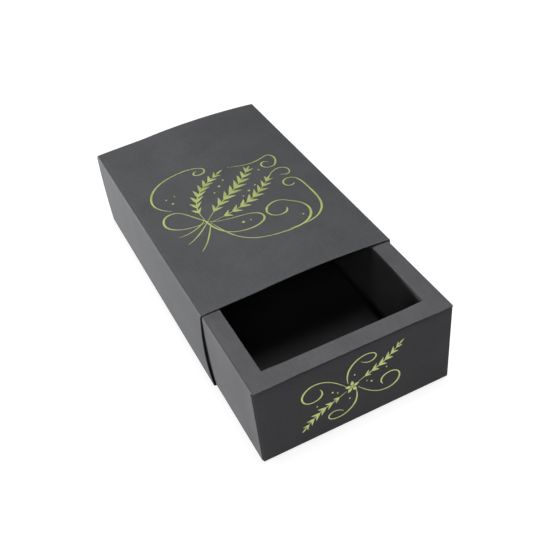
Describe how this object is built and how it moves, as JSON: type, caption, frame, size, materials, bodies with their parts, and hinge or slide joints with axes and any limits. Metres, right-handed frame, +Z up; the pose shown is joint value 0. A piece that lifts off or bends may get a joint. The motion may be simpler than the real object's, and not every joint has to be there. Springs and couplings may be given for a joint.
{
  "type": "sliding drawer gift box",
  "caption": "Folded card gift box: a sleeve open at both ends, and a drawer with a broad frame round its window that slides out of it.",
  "frame": {"origin": "middle of the sleeve's footprint, on the surface it stands on", "axes": "+X to the right, +Y to the rear, along the way the drawer goes in, +Z up"},
  "size_m": [0.1035, 0.213, 0.0504],
  "materials": {
    "sleeve_card": "matte uncoated card, dyed through, with fine fibres",
    "drawer_card": "matte uncoated card, dyed through, with fine fibres",
    "gold_foil": "hot-stamped pale gold foil"
  },
  "bodies": {
    "sleeve": {"sleeve_top_panel": "sleeve_card", "sleeve_left_panel": "sleeve_card", "sleeve_right_panel": "sleeve_card", "sleeve_bottom_panel": "sleeve_card", "sleeve_glue_flap": "sleeve_card"},
    "drawer": {"drawer_base": "drawer_card", "drawer_left_wall": "drawer_card", "drawer_right_wall": "drawer_card", "drawer_glue_flap": "drawer_card", "drawer_top_frame": "drawer_card", "drawer_left_inner_flap": "drawer_card", "drawer_right_inner_flap": "drawer_card", "front_panel": "drawer_card", "front_tuck_strip": "drawer_card", "front_inner_wall": "drawer_card", "front_left_dust_flap": "drawer_card", "front_right_dust_flap": "drawer_card", "rear_panel": "drawer_card", "rear_tuck_strip": "drawer_card", "rear_inner_wall": "drawer_card", "rear_left_dust_flap": "drawer_card", "rear_right_dust_flap": "drawer_card"}
  },
  "joints": [
    {"name": "drawer_slide", "type": "slide", "parent": "sleeve", "child": "drawer", "axis": [0, -1, 0], "range_m": [-0.054, 0.115]}
  ]
}
